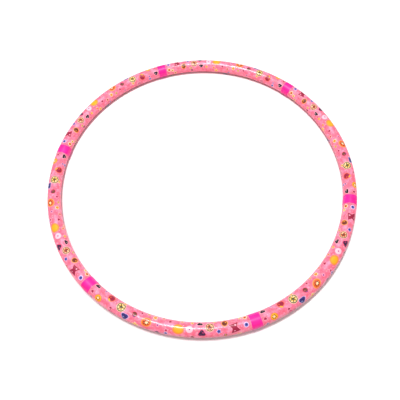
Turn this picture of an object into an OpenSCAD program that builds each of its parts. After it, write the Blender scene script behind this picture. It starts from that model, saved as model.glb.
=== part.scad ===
// Play hoop for rhythmic gymnastics: one tube bent into a ring and closed over a ribbed plug,
// dressed in six printed film sleeves whose ends meet under six coloured tape bands.
// The hoop lies flat. Z is its axis and Z = 0 is the floor under the bands. Sizes are in millimetres.

/* [Hoop] */
// Outside diameter over the bands
hoop_od = 600; // [400:5:900]

/* [Tube] */
// Outside diameter of the bare tube
tube_od = 24; // [18:0.5:32]
// Wall of the tube
tube_wall = 1.6; // [1.2:0.1:2.6]
// Gap left between the tube's two ends
tube_gap = 0.2; // [0.1:0.1:1]

/* [Joint plug] */
// Length of the plug along the tube's centre line
plug_len = 64; // [46:1:100]
// Wall of the plug's core
plug_wall = 3.4; // [3:0.1:4.4]
// Clearance all round between the ribs and the tube
plug_fit = 0.05; // [0.02:0.01:0.2]
// Width of one rib
rib_w = 2; // [1:0.5:4]
// Distance from one rib to the next
rib_pitch = 6; // [5:0.5:10]
// Height of a rib above the core
rib_h = 0.7; // [0.3:0.1:1]

/* [Staples] */
// Length of a staple's crown along the tube
crown_len = 6; // [4:0.5:7]
// Length of a staple's legs
leg_len = 5; // [3.5:0.1:6]
// Width of the staple wire
wire_w = 1; // [0.6:0.1:1.4]
// Thickness of the staple wire
wire_t = 0.6; // [0.4:0.05:0.8]
// Clearance all round the wire in its slot
wire_fit = 0.05; // [0.02:0.01:0.1]
// Depth of the crown below the tube's surface
crown_sink = 0.1; // [0.05:0.05:0.3]
// Bare tube between its end and a staple
staple_bite = 1.4; // [1:0.1:3]
// Length of the plug's land that is left past a staple
staple_cover = 1.5; // [1:0.25:3]

/* [Film sleeves] */
// Thickness of the printed film
film_t = 0.2; // [0.1:0.05:0.4]
// Thickness of the glue under the film and under the tape
glue_t = 0.05; // [0.03:0.01:0.1]
// Gap between the ends of two sleeves
sleeve_gap = 0.4; // [0.2:0.1:2]
// Gap along a sleeve where the film's long edges meet
seam_gap = 0.8; // [0.2:0.1:1.5]
// Where that seam runs round the tube: 0 outside, 90 on top, 180 inside
seam_angle = 218; // [200:1:250]

/* [Bands] */
// Width of a band along the tube
band_w = 18; // [16:0.5:40]
// Thickness of the tape
band_t = 0.2; // [0.1:0.05:0.4]
// Length of tape that laps over its own start
lap_len = 7; // [4:0.5:10]

/* [Hidden] */

REPEATS = 6;
STEP = 360 / REPEATS;

tube_r = tube_od / 2;
bore_r = tube_r - tube_wall;
film_in = tube_r + glue_t;
film_out = film_in + film_t;
band_in = film_out + glue_t;
band_out = band_in + band_t;

// Centre line of the tube: the bands reach hoop_od and touch the floor.
ring_r = hoop_od / 2 - band_out;
ring_z = band_out;

rib_r = bore_r - plug_fit;
core_r = rib_r - rib_h;
// The ribs are rooted this deep in the core.
rib_root = plug_wall / 2;

// The staples sit on the inner side, one on each side of the joint, and both bite into the plug's land.
staple_at = tube_gap / 2 + staple_bite + crown_len / 2;
crown_face = tube_r - crown_sink;
land_half = staple_at + crown_len / 2 + staple_cover;

// The lap lies just past the film's seam, on the hidden side of the tube.
lap_turn = lap_len / band_out * 180 / PI;

$fn = 96;

// Angle that a length along the centre line takes up.
function turn(length) = length / ring_r * 180 / PI;

// Sweeps a section along the centre line, from one angle to another.
module sweep(from, to)
    translate([0, 0, ring_z])
        rotate([0, 0, from])
            rotate_extrude(angle = to - from)
                translate([ring_r, 0])
                    children();

module ring_section(outer, inner)
    difference() {
        circle(outer);
        circle(inner);
    }

// Puts its children at a length along the centre line from the joint.
module at_length(length)
    translate([0, 0, ring_z])
        rotate([0, 0, turn(length)])
            translate([ring_r, 0, 0])
                children();

// One staple with its crown on the tube's inner side and its legs towards the plug.
// grow makes the slot that it sits in, and reach carries the slot out through the surface.
module staple_shape(grow, reach) {
    half = crown_len / 2;
    top = -crown_face - reach;
    inside = -crown_face + wire_t + grow;
    tip = -crown_face + leg_len;
    point_len = wire_t;
    width = wire_w + 2 * grow;
    translate([0, 0, -width / 2])
        linear_extrude(width)
            polygon([
                [top, -half - grow],
                [top, half + grow],
                [tip - point_len, half + grow],
                [tip + grow, half - wire_t / 2],
                [tip - point_len, half - wire_t - grow],
                [inside, half - wire_t - grow],
                [inside, -half + wire_t + grow],
                [tip - point_len, -half + wire_t + grow],
                [tip + grow, -half + wire_t / 2],
                [tip - point_len, -half - grow]
            ]);
}

module staple_slots()
    for (side = [-1, 1])
        at_length(side * staple_at)
            staple_shape(wire_fit, tube_wall);

module hoop_tube()
    color("#f6a9bd")
        difference() {
            sweep(turn(tube_gap / 2), 360 - turn(tube_gap / 2))
                ring_section(tube_r, bore_r);
            staple_slots();
        }

// A ring on the plug's core, from one length along it to another.
module rib(from, to)
    sweep(turn(from), turn(to))
        ring_section(rib_r, core_r - rib_root);

// A hollow core with a broad land in the middle, which the staples bite into, and ribs to each end.
module joint_plug()
    color("white")
        difference() {
            union() {
                sweep(-turn(plug_len / 2), turn(plug_len / 2))
                    ring_section(core_r, core_r - plug_wall);
                rib(-land_half, land_half);
                for (side = [-1, 1])
                    for (s = [land_half + rib_pitch / 2 : rib_pitch : plug_len / 2 - rib_w])
                        rib(side * (s + rib_w / 2) - rib_w / 2, side * (s + rib_w / 2) + rib_w / 2);
            }
            staple_slots();
        }

module staple(side)
    color("silver")
        at_length(side * staple_at)
            staple_shape(0, 0);

// A sheet of film wrapped round the tube, from the middle of one band to the middle of the next.
module sleeve(number)
    color("#ff8fa8")
        sweep((number - 1) * STEP + turn(sleeve_gap / 2), number * STEP - turn(sleeve_gap / 2))
            difference() {
                ring_section(film_out, film_in);
                rotate(seam_angle)
                    translate([0, -seam_gap / 2])
                        square([film_out + 1, seam_gap]);
            }

// A turn of tape over the place where two sleeves meet. Its end laps over its start.
module band(number) {
    middle = (number - 1) * STEP;
    color("#ff2fb0")
        sweep(middle - turn(band_w / 2), middle + turn(band_w / 2))
            union() {
                ring_section(band_out, band_in);
                intersection() {
                    ring_section(band_out + band_t, band_in);
                    rotate(seam_angle - lap_turn)
                        wedge(lap_turn, 2 * band_out);
                }
            }
}

// A triangle with its point at the centre that cuts a slice of a ring.
module wedge(angle, side)
    polygon([[0, 0], [side, 0], [side * cos(angle), side * sin(angle)]]);

hoop_tube();
joint_plug();
staple(-1);  // staple_left
staple(1);  // staple_right
sleeve(1);  // sleeve_1
sleeve(2);  // sleeve_2
sleeve(3);  // sleeve_3
sleeve(4);  // sleeve_4
sleeve(5);  // sleeve_5
sleeve(6);  // sleeve_6
band(1);  // band_1
band(2);  // band_2
band(3);  // band_3
band(4);  // band_4
band(5);  // band_5
band(6);  // band_6
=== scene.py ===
"""A children's play hoop: printed film sleeves and tape bands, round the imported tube, plug and staples."""
import math

import bpy
from mathutils import Matrix, Vector


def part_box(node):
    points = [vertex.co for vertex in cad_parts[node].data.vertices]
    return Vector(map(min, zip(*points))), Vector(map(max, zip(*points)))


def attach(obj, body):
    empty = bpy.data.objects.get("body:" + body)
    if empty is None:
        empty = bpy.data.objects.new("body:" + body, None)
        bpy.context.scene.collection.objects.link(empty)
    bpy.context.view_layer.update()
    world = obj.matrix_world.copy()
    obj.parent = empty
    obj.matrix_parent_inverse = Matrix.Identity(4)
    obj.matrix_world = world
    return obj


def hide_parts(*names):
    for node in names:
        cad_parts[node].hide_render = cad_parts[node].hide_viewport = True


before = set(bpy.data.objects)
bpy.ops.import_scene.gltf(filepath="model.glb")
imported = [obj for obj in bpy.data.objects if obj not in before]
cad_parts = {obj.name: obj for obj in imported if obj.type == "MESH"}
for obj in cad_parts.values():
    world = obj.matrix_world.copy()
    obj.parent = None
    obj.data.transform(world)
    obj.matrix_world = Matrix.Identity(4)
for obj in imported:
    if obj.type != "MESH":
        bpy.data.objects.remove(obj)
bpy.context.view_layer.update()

# ---------------------------------------------------------------- sizes, in metres

REPEATS = 6
STEP = 2 * math.pi / REPEATS
MM = 0.001

tape_low, tape_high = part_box("band_1")
film_low, film_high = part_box("sleeve_1")

TAPE_R = (tape_high[2] - tape_low[2]) / 2
FILM_R = (film_high[2] - film_low[2]) / 2
RING_R = tape_high[0] - TAPE_R
RING_Z = (tape_low[2] + tape_high[2]) / 2

FILM_T = 0.2 * MM
TAPE_T = 0.2 * MM
SLEEVE_GAP = 0.4 * MM
BAND_W = 18 * MM
LAP_LEN = 7 * MM
LAP_LIFT = 0.02 * MM
EDGE_ROUND = 0.05 * MM
SEAM_ANGLE = math.radians(218)

SECTION_STEPS = 96
SECTION_STEP = 2 * math.pi / SECTION_STEPS
SLEEVE_STEPS = 132
BAND_STEPS = 16

FLOOR_SIZE = 8

# The film is printed as a flat sheet: its length runs along the tube and its girth round it.
SHEET_LEN = STEP * RING_R / MM
SHEET_GIRTH = 2 * math.pi * FILM_R / MM


# ---------------------------------------------------------------- shaping

def only(piece):
    """Selects one object and nothing else."""
    bpy.ops.object.select_all(action="DESELECT")
    piece.select_set(True)
    bpy.context.view_layer.objects.active = piece


def round_tube(point):
    """The angle round the tube at a point: 0 outside, a quarter turn on top, half a turn inside."""
    out = math.hypot(point[0], point[1]) - RING_R
    return math.atan2(point[2] - RING_Z, out) % (2 * math.pi)


def on_section(radius, angle, along):
    """A point on the tube's section that stands at an angle along the hoop."""
    out = RING_R + radius * math.cos(angle)
    return Vector((out * math.cos(along), out * math.sin(along), RING_Z + radius * math.sin(angle)))


def section_circle(name, radius, along, start):
    """A circle round the tube, at an angle along the hoop, with one of its corners at start."""
    bpy.ops.object.select_all(action="DESELECT")
    bpy.ops.mesh.primitive_circle_add(vertices=SECTION_STEPS, radius=radius, fill_type="NOTHING",
                                         calc_uvs=False)
    piece = bpy.context.object
    piece.name = name
    piece.data.name = name
    upright = Matrix.Rotation(math.pi / 2, 4, "X")
    place = Matrix.Translation((RING_R, 0, RING_Z))
    piece.matrix_world = Matrix.Rotation(along, 4, "Z") @ place @ upright @ Matrix.Rotation(start, 4, "Z")
    only(piece)
    bpy.ops.object.transform_apply(location=True, rotation=True, scale=True)
    return piece


def select_nothing_in(piece, kind):
    """Clears the selection inside a mesh and sets what is picked from now on: VERT or EDGE."""
    only(piece)
    bpy.ops.object.mode_set(mode="EDIT")
    bpy.ops.mesh.select_mode(type=kind)
    bpy.ops.mesh.select_all(action="DESELECT")
    bpy.ops.object.mode_set(mode="OBJECT")


def part_circle(piece, angle):
    """Takes away the edge whose middle lies at an angle round the tube, so that the circle is open there."""
    def gap(edge):
        middle = sum((piece.data.vertices[i].co for i in edge.vertices), Vector()) / 2
        return abs((round_tube(middle) - angle + math.pi) % (2 * math.pi) - math.pi)

    select_nothing_in(piece, "EDGE")
    min(piece.data.edges, key=gap).select = True
    bpy.ops.object.mode_set(mode="EDIT")
    bpy.ops.mesh.delete(type="EDGE")
    bpy.ops.object.mode_set(mode="OBJECT")


def spin_along(piece, angle, steps):
    """Sweeps the section round the hoop's axis, anticlockwise as seen from above."""
    only(piece)
    bpy.ops.object.mode_set(mode="EDIT")
    bpy.ops.mesh.select_mode(type="VERT")
    bpy.ops.mesh.select_all(action="SELECT")
    bpy.ops.mesh.spin(steps=steps, angle=-angle, center=(0, 0, 0), axis=(0, 0, 1))
    bpy.ops.object.mode_set(mode="OBJECT")


def face_outwards(piece):
    """Turns an open sheet so that its faces look away from the tube's centre line."""
    mesh = piece.data
    face = mesh.polygons[0]
    along = math.atan2(face.center[1], face.center[0])
    core = on_section(0, 0, along)
    if face.normal.dot(face.center - core) < 0:
        only(piece)
        bpy.ops.object.mode_set(mode="EDIT")
        bpy.ops.mesh.select_all(action="SELECT")
        bpy.ops.mesh.flip_normals()
        bpy.ops.object.mode_set(mode="OBJECT")


def apply_modifier(piece, kind, **settings):
    only(piece)
    made = piece.modifiers.new(kind.title(), kind)
    for key, value in settings.items():
        setattr(made, key, value)
    bpy.ops.object.modifier_apply(modifier=made.name)


def thicken(piece, thickness):
    """Gives a sheet its thickness, inwards, with softened edges. Its inner faces take the second material."""
    apply_modifier(piece, "SOLIDIFY", thickness=thickness, offset=-1, material_offset=1)
    apply_modifier(piece, "BEVEL", width=EDGE_ROUND, segments=2, limit_method="ANGLE",
                   angle_limit=math.radians(60))
    only(piece)
    bpy.ops.object.shade_smooth_by_angle(angle=math.radians(40))


# ---------------------------------------------------------------- maps of the flat sheets

def sheet_place(point, middle, half_turn, radius, thickness):
    """Where a point lies on its flat sheet, 0 to 1 along it and round it, and how deep it lies, 0 to 1."""
    along = (math.atan2(point[1], point[0]) - middle + math.pi) % (2 * math.pi) - math.pi
    deep = math.hypot(math.hypot(point[0], point[1]) - RING_R, point[2] - RING_Z)
    across = ((round_tube(point) - SEAM_ANGLE) % (2 * math.pi)) / (2 * math.pi)
    return 0.5 - along / (2 * half_turn), across, max(0, radius - deep) / thickness


def lay_maps(piece, middle, half_turn, radius, thickness):
    """Adds the map that the print follows and a second one that packs the sheet into a square in two rows."""
    mesh = piece.data
    print_map = mesh.uv_layers.new(name="sheet")
    packed_map = mesh.uv_layers.new(name="OFBake")
    row_height, margin, lip = 0.47, 0.01, 0.004
    back_place, back_height = 0.975, 0.02
    near_end, near_seam = 0.001, 0.01
    for face in mesh.polygons:
        corners = range(face.loop_start, face.loop_start + face.loop_total)
        points = [mesh.vertices[mesh.loops[i].vertex_index].co for i in corners]
        places = [sheet_place(point, middle, half_turn, radius, thickness) for point in points]
        centre_along = sum(p[0] for p in places) / len(places)
        back = face.material_index == 1
        row = 0 if centre_along < 0.5 else 1
        for i, (u, v, deep) in zip(corners, places):
            print_map.uv[i].vector = (u, v)
            if back:
                packed_map.uv[i].vector = (u, back_place + back_height * v)
                continue
            u += lip * deep * ((centre_along > 1 - near_end) - (centre_along < near_end))
            v += lip * deep * ((v > 1 - near_seam) - (v < near_seam))
            packed_map.uv[i].vector = (margin + (2 * u - row) * (1 - 2 * margin),
                                       margin + row * (row_height + margin) + v * row_height)
    mesh.uv_layers.active = print_map
    print_map.active_render = True


# ---------------------------------------------------------------- the pieces

def film_sleeve(number):
    """Printed film wrapped round the tube from one band to the next, its long edges nearly meeting inside."""
    middle = (number - 0.5) * STEP
    half_turn = STEP / 2 - SLEEVE_GAP / 2 / RING_R
    piece = section_circle(f"film_sleeve_{number}", FILM_R, middle - half_turn, SEAM_ANGLE + SECTION_STEP / 2)
    part_circle(piece, SEAM_ANGLE)
    spin_along(piece, 2 * half_turn, SLEEVE_STEPS)
    face_outwards(piece)
    piece.data.materials.append(printed_film)
    piece.data.materials.append(film_back)
    thicken(piece, FILM_T)
    lay_maps(piece, middle, STEP / 2, FILM_R, FILM_T)
    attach(piece, "root")
    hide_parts(f"sleeve_{number}")
    return piece


def tape_band(number):
    """A turn of tape round the tube. Its end climbs over its start and laps it."""
    middle = (number - 1) * STEP
    half_turn = BAND_W / 2 / RING_R
    lap_turn = LAP_LEN / TAPE_R
    tape_start = SEAM_ANGLE - lap_turn
    piece = section_circle(f"tape_band_{number}", TAPE_R, middle - half_turn, tape_start)
    part_circle(piece, tape_start - SECTION_STEP / 2)
    lap_over(piece, middle - half_turn, tape_start, lap_turn)
    spin_along(piece, 2 * half_turn, BAND_STEPS)
    face_outwards(piece)
    piece.data.materials.append(hot_pink_tape)
    piece.data.materials.append(film_back)
    thicken(piece, TAPE_T)
    lay_maps(piece, middle, half_turn, TAPE_R, TAPE_T)
    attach(piece, "root")
    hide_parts(f"band_{number}")
    return piece


def lap_over(piece, along, tape_start, lap_turn):
    """Carries the tape on from its end, up over its start and round for the length of the lap."""
    steps = round(lap_turn / SECTION_STEP)
    end = on_section(TAPE_R, tape_start - SECTION_STEP, along)
    lifted = TAPE_R + TAPE_T + LAP_LIFT
    select_nothing_in(piece, "VERT")
    min(piece.data.vertices, key=lambda vertex: (vertex.co - end).length).select = True
    bpy.ops.object.mode_set(mode="EDIT")
    for i in range(steps + 1):
        there = on_section(lifted, tape_start + i * lap_turn / steps, along)
        bpy.ops.mesh.extrude_vertices_move(TRANSFORM_OT_translate={"value": there - end})
        end = there
    bpy.ops.object.mode_set(mode="OBJECT")


# ---------------------------------------------------------------- node helpers

def srgb(red, green, blue):
    """A colour given as 0 to 255 on a screen, as the shader wants it."""
    def linear(level):
        share = level / 255
        return share / 12.92 if share <= 0.04045 else ((share + 0.055) / 1.055) ** 2.4
    return linear(red), linear(green), linear(blue), 1.0


def join(tree, source, socket):
    """Links an output to an input, or sets the input's own value."""
    if isinstance(source, bpy.types.NodeSocket):
        tree.links.new(source, socket)
    else:
        socket.default_value = source


def maths(tree, operation, *values):
    node = tree.nodes.new("ShaderNodeMath")
    node.operation = operation
    for value, socket in zip(values, node.inputs):
        join(tree, value, socket)
    return node.outputs[0]


def vector_maths(tree, operation, *values):
    """A vector sum. Those whose answer is a single number give it on their second output."""
    node = tree.nodes.new("ShaderNodeVectorMath")
    node.operation = operation
    for value, socket in zip(values, node.inputs):
        join(tree, value, socket)
    return node.outputs["Value" if operation in ("LENGTH", "DOT_PRODUCT") else "Vector"]


def mixed(tree, share, under, over):
    """Lays one colour over another by a share of 0 to 1."""
    node = tree.nodes.new("ShaderNodeMix")
    node.data_type = "RGBA"
    join(tree, share, node.inputs[0])
    join(tree, under, node.inputs[6])
    join(tree, over, node.inputs[7])
    return node.outputs[2]


def spread(tree, value, low, high, to_low=0.0, to_high=1.0, soft=True):
    """Maps a value from one range to another, and holds it there."""
    node = tree.nodes.new("ShaderNodeMapRange")
    node.interpolation_type = "SMOOTHSTEP" if soft else "LINEAR"
    for value, socket in zip((value, low, high, to_low, to_high), node.inputs):
        join(tree, value, socket)
    return node.outputs[0]


def noise(tree, where, scale, detail=2.0, rough=0.5):
    node = tree.nodes.new("ShaderNodeTexNoise")
    join(tree, where, node.inputs["Vector"])
    node.inputs["Scale"].default_value = scale
    node.inputs["Detail"].default_value = detail
    node.inputs["Roughness"].default_value = rough
    return node.outputs["Fac"]


def cells(tree, where, scale, randomness=1.0):
    """Distance to the middle of the nearest cell."""
    node = tree.nodes.new("ShaderNodeTexVoronoi")
    join(tree, where, node.inputs["Vector"])
    node.inputs["Scale"].default_value = scale
    node.inputs["Randomness"].default_value = randomness
    return node.outputs["Distance"]


def stretched(tree, where, scale):
    node = tree.nodes.new("ShaderNodeMapping")
    join(tree, where, node.inputs["Vector"])
    node.inputs["Scale"].default_value = scale
    return node.outputs[0]


def ramp(tree, share, *stops):
    node = tree.nodes.new("ShaderNodeValToRGB")
    join(tree, share, node.inputs[0])
    while len(node.color_ramp.elements) < len(stops):
        node.color_ramp.elements.new(0.5)
    for element, (place, colour) in zip(node.color_ramp.elements, stops):
        element.position = place
        element.color = colour
    return node.outputs[0]


def material(name):
    """A new material with its tree and its main shader."""
    made = bpy.data.materials.new(name)
    made.use_nodes = True
    tree = made.node_tree
    shader = tree.nodes["Principled BSDF"]
    return made, tree, shader


def bump(tree, shader, height, distance, strength=1.0):
    node = tree.nodes.new("ShaderNodeBump")
    node.inputs["Distance"].default_value = distance
    node.inputs["Strength"].default_value = strength
    join(tree, height, node.inputs["Height"])
    tree.links.new(node.outputs[0], shader.inputs["Normal"])


def object_place(tree):
    return tree.nodes.new("ShaderNodeTexCoord").outputs["Object"]


def sheet_map(tree):
    """The place on the flat sheet, in millimetres."""
    node = tree.nodes.new("ShaderNodeUVMap")
    node.uv_map = "sheet"
    return stretched(tree, node.outputs[0], (SHEET_LEN, SHEET_GIRTH, 1))


# ---------------------------------------------------------------- printed motifs
# Each motif is drawn in its own square, two units across, in three inks: a body, a detail and a halo.

class Stamp:
    """What a motif is drawn with: its place in its square and the paint so far."""

    def __init__(self, tree, place, under, inks):
        self.tree = tree
        self.place = place
        self.out = vector_maths(tree, "LENGTH", place)
        self.body, self.detail, self.halo = inks
        self.paint = under

    @property
    def x(self):
        return vector_maths(self.tree, "DOT_PRODUCT", self.place, (1, 0, 0))

    @property
    def y(self):
        return vector_maths(self.tree, "DOT_PRODUCT", self.place, (0, 1, 0))

    @property
    def angle(self):
        return maths(self.tree, "ARCTAN2", self.y, self.x)

    def reach(self, x, y, wide=1.0, tall=1.0):
        """Distance from a point, in a space that is wide and tall units to one."""
        scale, shift = (1 / wide, 1 / tall, 0), (-x / wide, -y / tall, 0)
        moved = vector_maths(self.tree, "MULTIPLY_ADD", self.place, scale, shift)
        return vector_maths(self.tree, "LENGTH", moved)

    def lobed(self, count, depth, turn=0.0):
        """Distance from the middle as a share of a wavy outline with that many lobes."""
        tree = self.tree
        swing = maths(tree, "COSINE", maths(tree, "MULTIPLY_ADD", self.angle, float(count), turn))
        outline = maths(tree, "MULTIPLY_ADD", swing, depth, 1.0 - depth)
        return maths(tree, "DIVIDE", self.out, outline)

    def fill(self, distance, edge, ink, strength=1.0, blur=0.05):
        """Paints where the distance is less than edge."""
        mask = spread(self.tree, distance, edge - blur, edge + blur, strength, 0.0)
        self.paint = mixed(self.tree, mask, self.paint, ink)


def draw_dot(s):
    s.fill(s.out, 0.96, s.halo, 0.95, 0.06)
    s.fill(s.out, 0.66, s.body)
    s.fill(s.reach(-0.08, 0.08), 0.34, s.detail)


def draw_flower(s):
    petals = s.lobed(5, 0.2, 0.5)
    s.fill(petals, 1.0, s.halo, 0.85, 0.08)
    s.fill(petals, 0.8, s.body)
    s.fill(s.out, 0.27, s.detail)


def draw_slice(s):
    """A round fruit cut across: rind, pith and wedges."""
    tree = s.tree
    s.fill(s.out, 0.96, s.halo, 0.95)
    s.fill(s.out, 0.88, s.body)
    s.fill(s.out, 0.68, s.halo)
    s.fill(s.out, 0.56, s.detail)
    ray = maths(tree, "ABSOLUTE", maths(tree, "SINE", maths(tree, "MULTIPLY", s.angle, 3.0)))
    wedge = maths(tree, "MULTIPLY", ray, s.out)
    s.fill(maths(tree, "ADD", wedge, spread(tree, s.out, 0.62, 0.7)), 0.28, s.body)
    s.fill(s.reach(-0.25, 0.3, 1.0, 0.6), 0.2, s.halo, 0.9)


def draw_heart(s):
    tree = s.tree
    side = maths(tree, "ABSOLUTE", s.x)
    dip = maths(tree, "MULTIPLY", maths(tree, "SQRT", side), 0.7)
    rise = maths(tree, "SUBTRACT", maths(tree, "MULTIPLY_ADD", s.y, 1.15, 0.2), dip)
    squares = [maths(tree, "POWER", length, 2.0) for length in (side, rise)]
    away = maths(tree, "SQRT", maths(tree, "ADD", *squares))
    s.fill(away, 0.92, s.halo, 0.85, 0.07)
    s.fill(away, 0.72, s.body)
    s.fill(s.reach(-0.32, 0.3, 1.0, 0.8), 0.17, s.detail)


def draw_star(s):
    tree = s.tree
    point = maths(tree, "ABSOLUTE", maths(tree, "SINE", maths(tree, "MULTIPLY_ADD", s.angle, 2.5, 0.785)))
    away = maths(tree, "MULTIPLY", s.out, maths(tree, "MULTIPLY_ADD", point, 0.9, 1.0))
    s.fill(away, 1.02, s.halo, 0.85, 0.1)
    s.fill(away, 0.82, s.body)
    s.fill(s.out, 0.2, s.detail)


def draw_berry(s):
    """A cluster of little round drupes, or grapes."""
    tree = s.tree
    cluster = s.lobed(3, 0.14, 1.57)
    s.fill(cluster, 1.0, s.halo, 0.8, 0.08)
    s.fill(cluster, 0.84, s.body)
    drupes = cells(tree, s.place, 2.1, 0.5)
    s.fill(maths(tree, "ADD", drupes, spread(tree, cluster, 0.55, 0.85)), 0.34, s.detail, 0.95, 0.12)
    s.fill(s.reach(-0.2, 0.2), 0.16, s.halo, 0.7, 0.1)


def draw_melon(s):
    """A round slice with a pale middle and dark pips."""
    tree = s.tree
    s.fill(s.out, 0.97, s.halo, 0.8, 0.08)
    s.fill(s.out, 0.82, s.body)
    s.fill(s.reach(0.1, 0.1, 1.0, 0.8), 0.34, s.detail, 0.95, 0.1)
    around = maths(tree, "SINE", maths(tree, "MULTIPLY", s.angle, 3.5))
    pip = maths(tree, "ADD", maths(tree, "POWER", maths(tree, "SUBTRACT", s.out, 0.42), 2.0),
                maths(tree, "POWER", maths(tree, "MULTIPLY", around, 0.22), 2.0))
    s.fill(pip, 0.03, INKS["pip"], 1.0, 0.008)


def draw_bow(s):
    tree = s.tree
    side = maths(tree, "ABSOLUTE", s.x)
    wing = maths(tree, "SUBTRACT", maths(tree, "ABSOLUTE", s.y), maths(tree, "MULTIPLY", side, 0.5))
    ends = maths(tree, "SUBTRACT", side, 0.4)
    shape = maths(tree, "MAXIMUM", wing, ends)
    s.fill(shape, 0.56, s.halo, 0.5, 0.06)
    s.fill(shape, 0.48, s.body)
    s.fill(s.reach(0.5, 0.25, 1, 0.6), 0.2, s.detail, 0.95)
    s.fill(s.reach(-0.55, -0.2, 0.6, 1), 0.16, s.detail, 0.7)
    s.fill(s.out, 0.3, s.body)


def draw_fruit(s):
    """A round fruit with a highlight and a leaf."""
    s.fill(s.reach(0, -0.06), 0.94, s.halo, 0.8, 0.08)
    s.fill(s.reach(0, -0.08), 0.76, s.body)
    s.fill(s.reach(-0.26, 0.16, 1.0, 0.7), 0.22, s.halo, 0.8, 0.1)
    s.fill(s.reach(0.3, 0.66, 1.0, 0.5), 0.38, s.detail)


def draw_ring(s):
    s.fill(s.out, 0.96, s.halo, 0.9, 0.08)
    s.fill(s.out, 0.78, s.body)
    s.fill(s.out, 0.36, s.halo)
    s.fill(s.out, 0.22, s.detail)


DRAWINGS = {
    "dot": draw_dot, "flower": draw_flower, "slice": draw_slice, "heart": draw_heart, "star": draw_star,
    "berry": draw_berry, "melon": draw_melon, "bow": draw_bow, "fruit": draw_fruit, "ring": draw_ring,
}


def motif_group(name):
    """The node group of one motif, made once."""
    if name in bpy.data.node_groups:
        return bpy.data.node_groups[name]
    group = bpy.data.node_groups.new(name, "ShaderNodeTree")
    face = group.interface
    face.new_socket("Under", in_out="INPUT", socket_type="NodeSocketColor")
    for setting in ("Where", "Centre", "Turn", "Size"):
        face.new_socket(setting, in_out="INPUT", socket_type="NodeSocketVector")
    for ink in ("Body", "Detail", "Halo"):
        face.new_socket(ink, in_out="INPUT", socket_type="NodeSocketColor")
    face.new_socket("Paint", in_out="OUTPUT", socket_type="NodeSocketColor")
    given = group.nodes.new("NodeGroupInput").outputs
    square = group.nodes.new("ShaderNodeMapping")
    square.vector_type = "TEXTURE"
    for setting, socket in zip(("Where", "Centre", "Turn", "Size"), square.inputs):
        join(group, given[setting], socket)
    stamp = Stamp(group, square.outputs[0], given["Under"], (given["Body"], given["Detail"], given["Halo"]))
    DRAWINGS[name](stamp)
    join(group, stamp.paint, group.nodes.new("NodeGroupOutput").inputs[0])
    return group


INKS = {
    "cream": srgb(250, 222, 172),
    "white": srgb(240, 188, 202),
    "blush": srgb(250, 168, 190),
    "lilac": srgb(220, 186, 226),
    "peach": srgb(252, 188, 150),
    "yellow": srgb(250, 192, 62),
    "sun": srgb(255, 166, 0),
    "amber": srgb(252, 140, 30),
    "orange": srgb(228, 92, 20),
    "gold": srgb(178, 98, 22),
    "brown": srgb(108, 44, 22),
    "pip": srgb(60, 18, 12),
    "red": srgb(206, 44, 30),
    "crimson": srgb(150, 10, 54),
    "rose": srgb(214, 54, 104),
    "mauve": srgb(150, 62, 132),
    "plum": srgb(44, 2, 50),
    "ink": srgb(12, 0, 18),
    "indigo": srgb(36, 16, 96),
    "blue": srgb(74, 88, 170),
    "sky": srgb(160, 172, 226),
    "lime": srgb(150, 142, 48),
    "olive": srgb(74, 66, 18),
    "leaf": srgb(96, 116, 40),
}

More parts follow.
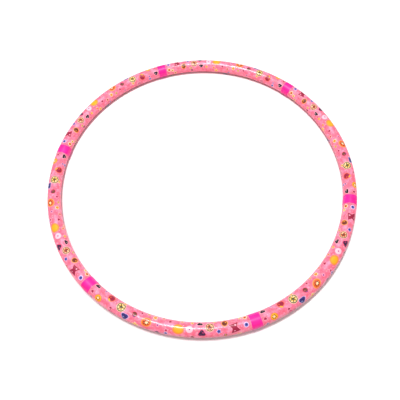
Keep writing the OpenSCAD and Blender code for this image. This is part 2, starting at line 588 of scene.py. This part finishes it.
# motif, place along the sheet in millimetres, angle round the tube in degrees, length and width in
# millimetres, turn in degrees, then the body's, detail's and halo's inks
PRINT = [
    ("dot", 16, 140, 8, 8, 0, "orange", "brown", "cream"),
    ("dot", 17, 80, 9, 9, 0, "blue", "indigo", "lilac"),
    ("bow", 36, 77, 16, 17, 80, "crimson", "blush", "blush"),
    ("fruit", 51, 128, 12, 13, 20, "brown", "orange", "sun"),
    ("flower", 62, 69, 9, 9, 0, "blue", "indigo", "lilac"),
    ("slice", 76, 105, 15, 15, 10, "brown", "orange", "cream"),
    ("berry", 89, 60, 14, 13, 0, "plum", "mauve", "rose"),
    ("berry", 92, 134, 12, 9, 0, "ink", "ink", "white"),
    ("star", 105, 143, 8, 8, 15, "sun", "orange", "cream"),
    ("ring", 109, 88, 12, 12, 0, "white", "mauve", "white"),
    ("dot", 127, 80, 19, 17, 0, "sun", "sun", "amber"),
    ("heart", 142, 132, 7, 7, 170, "crimson", "rose", "blush"),
    ("dot", 161, 82, 5, 5, 0, "mauve", "mauve", "blush"),
    ("dot", 168, 134, 8, 8, 0, "orange", "sun", "cream"),
    ("melon", 180, 77, 18, 15, 160, "orange", "cream", "sun"),
    ("heart", 192, 137, 6, 6, 200, "crimson", "rose", "blush"),
    ("dot", 202, 172, 5, 5, 0, "mauve", "mauve", "blush"),
    ("fruit", 203, 100, 11, 10, 200, "brown", "mauve", "rose"),
    ("berry", 217, 54, 15, 14, 180, "indigo", "blue", "sky"),
    ("slice", 229, 105, 17, 17, 0, "olive", "yellow", "cream"),
    ("heart", 244, 60, 6, 6, 180, "crimson", "rose", "blush"),
    ("fruit", 252, 125, 15, 14, 220, "crimson", "sun", "orange"),
    ("melon", 271, 60, 14, 14, 0, "sun", "cream", "orange"),
    ("berry", 285, 137, 12, 10, 0, "ink", "ink", "white"),
    ("heart", 286, 77, 7, 7, 180, "crimson", "rose", "blush"),
    ("dot", 24, 152, 6, 6, 0, "yellow", "olive", "cream"),
    ("star", 68, 152, 7, 7, 10, "lime", "yellow", "cream"),
    ("heart", 122, 150, 6, 6, 180, "orange", "yellow", "cream"),
    ("dot", 154, 150, 6, 6, 0, "rose", "crimson", "peach"),
    ("star", 180, 148, 8, 7, 0, "lime", "yellow", "peach"),
    ("dot", 226, 148, 6, 6, 0, "orange", "yellow", "cream"),
    ("dot", 268, 146, 5, 5, 0, "mauve", "plum", "lilac"),
    ("dot", 146, 58, 6, 6, 0, "crimson", "rose", "blush"),
    # the side that faces down and out
    ("star", 30, 10, 11, 11, 0, "sun", "orange", "cream"),
    ("flower", 52, 30, 9, 9, 0, "crimson", "yellow", "blush"),
    ("ring", 70, 355, 12, 12, 0, "rose", "crimson", "white"),
    ("heart", 104, 25, 9, 9, 180, "crimson", "rose", "blush"),
    ("slice", 122, 350, 14, 14, 5, "red", "orange", "cream"),
    ("dot", 146, 30, 7, 7, 0, "blue", "indigo", "lilac"),
    ("berry", 160, 5, 12, 12, 0, "plum", "indigo", "mauve"),
    ("flower", 197, 20, 12, 12, 20, "yellow", "orange", "cream"),
    ("dot", 218, 355, 7, 7, 0, "orange", "brown", "cream"),
    ("bow", 240, 15, 14, 13, 20, "rose", "blush", "white"),
    ("fruit", 262, 345, 12, 12, 30, "red", "leaf", "cream"),
    ("star", 284, 20, 9, 9, 30, "indigo", "sky", "lilac"),
    # the side that faces down and in
    ("slice", 22, 255, 14, 14, 0, "olive", "yellow", "cream"),
    ("flower", 64, 250, 11, 11, 0, "white", "sun", "rose"),
    ("berry", 150, 240, 12, 12, 0, "indigo", "plum", "sky"),
    ("fruit", 200, 250, 12, 13, 15, "gold", "brown", "cream"),
    ("heart", 286, 250, 8, 8, 170, "rose", "blush", "white"),
    # the inner side, above the seam
    ("dot", 30, 185, 7, 7, 0, "orange", "brown", "cream"),
    ("heart", 70, 178, 8, 8, 180, "crimson", "rose", "blush"),
    ("flower", 128, 180, 10, 10, 0, "yellow", "orange", "cream"),
    ("star", 158, 190, 8, 8, 0, "indigo", "sky", "lilac"),
    ("ring", 240, 182, 10, 10, 0, "rose", "crimson", "white"),
    ("dot", 268, 176, 7, 7, 0, "blue", "indigo", "lilac"),
]


def print_motifs(tree, where, paint):
    """Stamps every motif on the paint, each in its own square."""
    seam = math.degrees(SEAM_ANGLE)
    for name, along, angle, length, width, turn, *inks in PRINT:
        stamp = tree.nodes.new("ShaderNodeGroup")
        stamp.node_tree = motif_group(name)
        join(tree, paint, stamp.inputs["Under"])
        join(tree, where, stamp.inputs["Where"])
        stamp.inputs["Centre"].default_value = (along, (angle - seam) % 360 / 360 * SHEET_GIRTH, 0)
        stamp.inputs["Turn"].default_value = (0, 0, math.radians(turn))
        stamp.inputs["Size"].default_value = (length / 2, width / 2, 1)
        for socket, ink in zip(("Body", "Detail", "Halo"), inks):
            stamp.inputs[socket].default_value = INKS[ink]
        paint = stamp.outputs[0]
    return paint


# ---------------------------------------------------------------- materials

def sprinkle(tree, where, paint):
    """Scatters small specks of peach, blush and mauve between the motifs."""
    node = tree.nodes.new("ShaderNodeTexVoronoi")
    join(tree, where, node.inputs["Vector"])
    node.inputs["Scale"].default_value = 0.3
    lot = tree.nodes.new("ShaderNodeSeparateColor")
    join(tree, node.outputs["Color"], lot.inputs[0])
    ink = ramp(tree, lot.outputs[1], (0.3, srgb(250, 190, 196)), (0.45, srgb(250, 152, 118)),
               (0.7, srgb(252, 180, 150)), (0.8, srgb(214, 90, 132)), (0.92, srgb(186, 70, 96)))
    size = maths(tree, "MULTIPLY_ADD", lot.outputs[2], 0.16, 0.12)
    speck = maths(tree, "SUBTRACT", size, node.outputs["Distance"])
    drawn = maths(tree, "GREATER_THAN", lot.outputs[0], 0.3)
    share = maths(tree, "MULTIPLY", spread(tree, speck, -0.04, 0.04, 0.0, 0.75), drawn)
    return mixed(tree, share, paint, ink)


def tint(tree, shader, share, low, high):
    """Colours the surface between two shades of it."""
    join(tree, ramp(tree, share, (0.3, low), (0.7, high)), shader.inputs["Base Color"])


def roughen(tree, shader, share, low, high, full=0.7):
    """Varies the gloss: the roughness is low up to a share of 0.3 and high from full."""
    join(tree, spread(tree, share, 0.3, full, low, high), shader.inputs["Roughness"])


def make_printed_film():
    made, tree, shader = material("printed_film")
    where = sheet_map(tree)
    clouds = noise(tree, where, 0.12, 4.0, 0.6)
    paint = ramp(tree, clouds, (0.34, srgb(240, 90, 116)), (0.5, srgb(248, 112, 140)),
                 (0.66, srgb(252, 144, 176)))
    flecks = cells(tree, where, 0.2)
    paint = mixed(tree, spread(tree, flecks, 0.1, 0.3, 0.6, 0.0), paint, srgb(254, 172, 196))
    paint = sprinkle(tree, where, paint)
    paint = print_motifs(tree, where, paint)
    dots = noise(tree, where, 1.6, 2.0, 0.6)
    paint = mixed(tree, spread(tree, dots, 0.35, 0.7, 0.0, 0.04), paint, srgb(253, 214, 222))
    join(tree, paint, shader.inputs["Base Color"])
    rub = noise(tree, stretched(tree, where, (0.05, 0.6, 1)), 1.0, 4.0, 0.6)
    roughen(tree, shader, rub, 0.34, 0.5, full=0.75)
    shader.inputs["Specular IOR Level"].default_value = 0.25
    shader.inputs["Coat Weight"].default_value = 0.22
    shader.inputs["Coat Roughness"].default_value = 0.12
    ripple = noise(tree, stretched(tree, where, (0.5, 0.08, 1)), 1.0, 2.0, 0.5)
    peel = noise(tree, where, 1.1, 2.0, 0.5)
    relief = maths(tree, "ADD", ripple, maths(tree, "MULTIPLY", peel, 0.15))
    bump(tree, shader, relief, 0.06 * MM, 0.7)
    return made


def make_hot_pink_tape():
    made, tree, shader = material("hot_pink_tape")
    where = sheet_map(tree)
    clouds = noise(tree, object_place(tree), 60.0, 3.0, 0.6)
    tint(tree, shader, clouds, srgb(246, 14, 130), srgb(250, 40, 158))
    rub = noise(tree, stretched(tree, where, (0.1, 0.8, 1)), 1.0, 4.0, 0.6)
    roughen(tree, shader, rub, 0.34, 0.5, full=0.75)
    shader.inputs["Specular IOR Level"].default_value = 0.25
    shader.inputs["Coat Weight"].default_value = 0.15
    shader.inputs["Coat Roughness"].default_value = 0.16
    peel = noise(tree, object_place(tree), 900.0, 2.0, 0.5)
    bump(tree, shader, peel, 0.03 * MM, 0.6)
    return made


def make_film_back():
    made, tree, shader = material("film_back")
    blotches = noise(tree, object_place(tree), 120.0, 3.0, 0.6)
    tint(tree, shader, blotches, srgb(240, 214, 218), srgb(250, 232, 234))
    roughen(tree, shader, blotches, 0.35, 0.5)
    return made


def make_tube_plastic():
    made, tree, shader = material("pink_polyethylene")
    where = object_place(tree)
    clouds = noise(tree, where, 35.0, 4.0, 0.6)
    tint(tree, shader, clouds, srgb(240, 150, 172), srgb(250, 176, 194))
    lines = noise(tree, stretched(tree, where, (1, 1, 14)), 160.0, 3.0, 0.6)
    roughen(tree, shader, lines, 0.32, 0.5)
    shader.inputs["Subsurface Weight"].default_value = 0.1
    shader.inputs["Subsurface Radius"].default_value = (0.004, 0.002, 0.002)
    bump(tree, shader, lines, 0.03 * MM, 0.6)
    return made


def make_plug_plastic():
    made, tree, shader = material("white_polyethylene")
    where = object_place(tree)
    flow = noise(tree, stretched(tree, where, (1, 0.3, 1)), 90.0, 4.0, 0.6)
    tint(tree, shader, flow, srgb(226, 224, 216), srgb(242, 241, 236))
    roughen(tree, shader, flow, 0.4, 0.6)
    bump(tree, shader, noise(tree, where, 1500.0, 2.0, 0.5), 0.03 * MM, 0.5)
    return made


def make_zinc_wire():
    made, tree, shader = material("zinc_plated_wire")
    where = object_place(tree)
    drawn = noise(tree, stretched(tree, where, (1, 0.1, 1)), 2500.0, 3.0, 0.6)
    tint(tree, shader, drawn, srgb(170, 172, 176), srgb(206, 208, 212))
    roughen(tree, shader, drawn, 0.25, 0.45)
    shader.inputs["Metallic"].default_value = 1.0
    bump(tree, shader, drawn, 0.01 * MM, 0.6)
    return made


def dress(node, made):
    """Gives a CAD node its finish."""
    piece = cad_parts[node]
    for slot in piece.material_slots:
        slot.material = made


# ---------------------------------------------------------------- floor, light and camera

def make_floor():
    bpy.ops.object.select_all(action="DESELECT")
    bpy.ops.mesh.primitive_plane_add(size=FLOOR_SIZE, location=(0, 0, tape_low[2]))
    floor = bpy.context.object
    floor.name = "floor"
    made, tree, shader = material("white_floor")
    shader.inputs["Base Color"].default_value = srgb(243, 243, 243)
    shader.inputs["Roughness"].default_value = 0.5
    shader.inputs["Specular IOR Level"].default_value = 0.3
    floor.data.materials.append(made)


def softbox(name, place, aim, width, height, power):
    """A rectangular studio lamp at a place, facing a point."""
    lamp = bpy.data.lights.new(name, "AREA")
    lamp.shape = "RECTANGLE"
    lamp.size = width
    lamp.size_y = height
    lamp.energy = power
    holder = bpy.data.objects.new(name, lamp)
    holder.location = place
    holder.rotation_mode = "QUATERNION"
    holder.rotation_quaternion = (Vector(aim) - Vector(place)).to_track_quat("-Z", "Y")
    bpy.context.scene.collection.objects.link(holder)


def make_light():
    """One softbox high over the hoop, in a white tent that glows most at its top."""
    horizon_glow, zenith_glow = 0.25, 0.6
    softbox("overhead_softbox", place=(-0.18, 0.1, 1.6), aim=(0, 0, RING_Z), width=0.5, height=0.26, power=28)
    world = bpy.data.worlds.new("white_tent")
    world.use_nodes = True
    tree = world.node_tree
    shade = tree.nodes["Background"]
    upward = tree.nodes.new("ShaderNodeSeparateXYZ")
    join(tree, tree.nodes.new("ShaderNodeTexCoord").outputs["Generated"], upward.inputs[0])
    glow = spread(tree, upward.outputs[2], 0.0, 1.0, horizon_glow, zenith_glow, soft=False)
    join(tree, glow, shade.inputs["Strength"])
    shade.inputs["Color"].default_value = (1, 1, 1, 1)
    bpy.context.scene.world = world


def make_camera():
    """Looks down on the hoop from the front, a little past its middle, with a slight roll."""
    azimuth, elevation = math.radians(-75.85), math.radians(61.354)
    distance = 2.4357 * RING_R
    aim = Vector((0.0096, -0.0527, RING_Z))
    roll = math.radians(3.245)
    level_out = distance * math.cos(elevation)
    place = Vector((level_out * math.cos(azimuth), level_out * math.sin(azimuth),
                    RING_Z + distance * math.sin(elevation)))
    lens = bpy.data.cameras.new("camera")
    lens.lens = 31.87
    lens.sensor_width = 36
    lens.clip_start = 0.01
    holder = bpy.data.objects.new("camera", lens)
    holder.location = place
    holder.rotation_mode = "QUATERNION"
    level = (aim - place).to_track_quat("-Z", "Y")
    holder.rotation_quaternion = level @ Matrix.Rotation(-roll, 3, "Z").to_quaternion()
    bpy.context.scene.collection.objects.link(holder)
    bpy.context.scene.camera = holder


# ---------------------------------------------------------------- the hoop

printed_film = make_printed_film()
hot_pink_tape = make_hot_pink_tape()
film_back = make_film_back()

for number in range(1, REPEATS + 1):
    film_sleeve(number)
    tape_band(number)

dress("hoop_tube", make_tube_plastic())
dress("joint_plug", make_plug_plastic())
zinc_wire = make_zinc_wire()
for side in ("left", "right"):
    dress(f"staple_{side}", zinc_wire)

make_floor()
make_light()
make_camera()
bpy.context.scene.view_settings.view_transform = "Standard"
